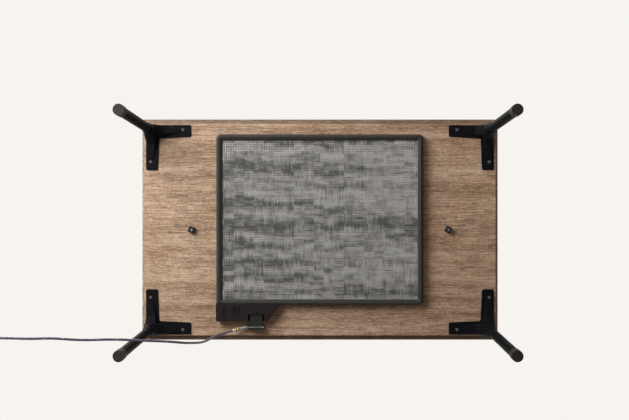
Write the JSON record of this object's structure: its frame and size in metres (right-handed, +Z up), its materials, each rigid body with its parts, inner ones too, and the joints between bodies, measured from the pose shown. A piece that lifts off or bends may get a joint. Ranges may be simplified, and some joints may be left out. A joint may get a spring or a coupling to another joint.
{
  "type": "kotatsu table",
  "caption": "Low heated table: lift-off wood-print top on a base board with a flat electric heater beneath, splayed steel legs on corner brackets and a detachable mains lead.",
  "frame": {"origin": "on the floor under the middle of the table: the bottom centre of the table's box, without its cord", "axes": "+Z up, +X along the table's length towards the right (the side to which the cord runs), -Y the front, where the heater's plug comes out"},
  "size_m": [1.514, 0.62, 0.38],
  "materials": {
    "wood_print": "printed oak grain on wood board, satin",
    "edge_band": "printed oak edge band, satin",
    "black_steel": "black powder coat, fine texture",
    "foot_rubber": "matt moulded rubber",
    "zinc_steel": "zinc plated",
    "knob_plastic": "black moulded plastic",
    "washer_plastic": "black nylon",
    "brass": "plain brass",
    "blade_metal": "nickel plated",
    "bezel_plastic": "dark grey moulded plastic, fine texture",
    "guard_mesh": "grey woven mesh",
    "sheet_steel": "zinc plated sheet",
    "reflector_metal": "bright sheet",
    "element_sheet": "film with printed heating tracks",
    "insulation": "glass fibre mat",
    "electrical_plastic": "heat resistant plastic",
    "wire_cover": "silicone covered wire",
    "plug_plastic": "black moulded plastic",
    "soft_black": "soft black plastic",
    "sleeve_gold": "cream and gold sleeve",
    "braided_cord": "braided textile cover",
    "controller_plastic": "black moulded plastic",
    "dial_plastic": "grey moulded plastic",
    "lamp_lens": "red lens"
  },
  "bodies": {
    "frame": {"base_board": "wood_print", "base_edge_band": "edge_band", "corner_bracket_rear_right": "black_steel", "corner_bracket_rear_left": "black_steel", "corner_bracket_front_right": "black_steel", "corner_bracket_front_left": "black_steel", "leg_tube_rear_right": "black_steel", "leg_tube_rear_left": "black_steel", "leg_tube_front_right": "black_steel", "leg_tube_front_left": "black_steel", "foot_cap_rear_right": "foot_rubber", "foot_cap_rear_left": "foot_rubber", "foot_cap_front_right": "foot_rubber", "foot_cap_front_left": "foot_rubber", "bracket_screws": "zinc_steel", "leg_bolts": "zinc_steel", "leg_threaded_plugs": "zinc_steel", "heater_bezel": "bezel_plastic", "heater_guard": "guard_mesh", "guard_clamp_frame": "sheet_steel", "heater_back_pan": "sheet_steel", "insulation_mat": "insulation", "heat_reflector": "reflector_metal", "heating_element": "element_sheet", "thermostat": "electrical_plastic", "thermal_fuse": "electrical_plastic", "heater_lead_wires": "wire_cover", "terminal_box": "bezel_plastic", "inlet_socket": "electrical_plastic", "inlet_pins": "brass", "pan_screws": "zinc_steel"},
    "tabletop": {"tabletop_board": "wood_print", "tabletop_edge_band": "edge_band", "tabletop_inserts": "brass"},
    "right_washer": {"knob_washer_right": "washer_plastic"},
    "right_knob": {"knob_right": "knob_plastic", "knob_screw_right": "zinc_steel"},
    "left_washer": {"knob_washer_left": "washer_plastic"},
    "left_knob": {"knob_left": "knob_plastic", "knob_screw_left": "zinc_steel"},
    "mains_lead": {"heater_plug_body": "plug_plastic", "heater_plug_contacts": "brass", "heater_plug_relief": "soft_black", "cord_sleeve": "sleeve_gold", "heater_cord": "braided_cord", "controller_case_top": "controller_plastic", "controller_case_base": "controller_plastic", "controller_board": "electrical_plastic", "controller_screws": "zinc_steel", "controller_bushes": "soft_black", "controller_lamp": "lamp_lens", "supply_cord_run": "braided_cord", "supply_cord_coil": "braided_cord", "supply_cord_tail": "braided_cord", "coil_tie": "soft_black", "wall_plug_body": "plug_plastic", "wall_plug_blades": "blade_metal"},
    "dial": {"temperature_dial": "dial_plastic"},
    "switch": {"power_switch": "dial_plastic"}
  },
  "joints": [
    {"name": "tabletop_lift", "type": "slide", "parent": "frame", "child": "tabletop", "axis": [0, 0, 1], "range_m": [0, 0.12]},
    {"name": "right_knob_travel", "type": "slide", "parent": "frame", "child": "right_washer", "axis": [0, 0, -1], "range_m": [0, 0.014]},
    {"name": "right_knob_turn", "type": "hinge", "parent": "right_washer", "child": "right_knob", "pos_m": [0.358, 0, 0.34], "axis": [0, 0, -1], "range_deg": [0, 4950]},
    {"name": "left_knob_travel", "type": "slide", "parent": "frame", "child": "left_washer", "axis": [0, 0, -1], "range_m": [0, 0.014]},
    {"name": "left_knob_turn", "type": "hinge", "parent": "left_washer", "child": "left_knob", "pos_m": [-0.358, 0, 0.34], "axis": [0, 0, -1], "range_deg": [0, 4950]},
    {"name": "heater_plug_pull", "type": "slide", "parent": "frame", "child": "mains_lead", "axis": [0, -1, 0], "range_m": [0, 0.015]},
    {"name": "temperature_dial_turn", "type": "hinge", "parent": "mains_lead", "child": "dial", "pos_m": [0.8304, -0.253, 0.022], "axis": [0, 0, -1], "range_deg": [0, 270]},
    {"name": "power_switch_slide", "type": "slide", "parent": "mains_lead", "child": "switch", "axis": [1, 0, 0], "range_m": [0, 0.006]}
  ],
  "couplings": [
    {"joint": "right_knob_travel", "follows": "right_knob_turn", "m_per_rad": 0.00015915},
    {"joint": "left_knob_travel", "follows": "left_knob_turn", "m_per_rad": 0.00015915}
  ]
}
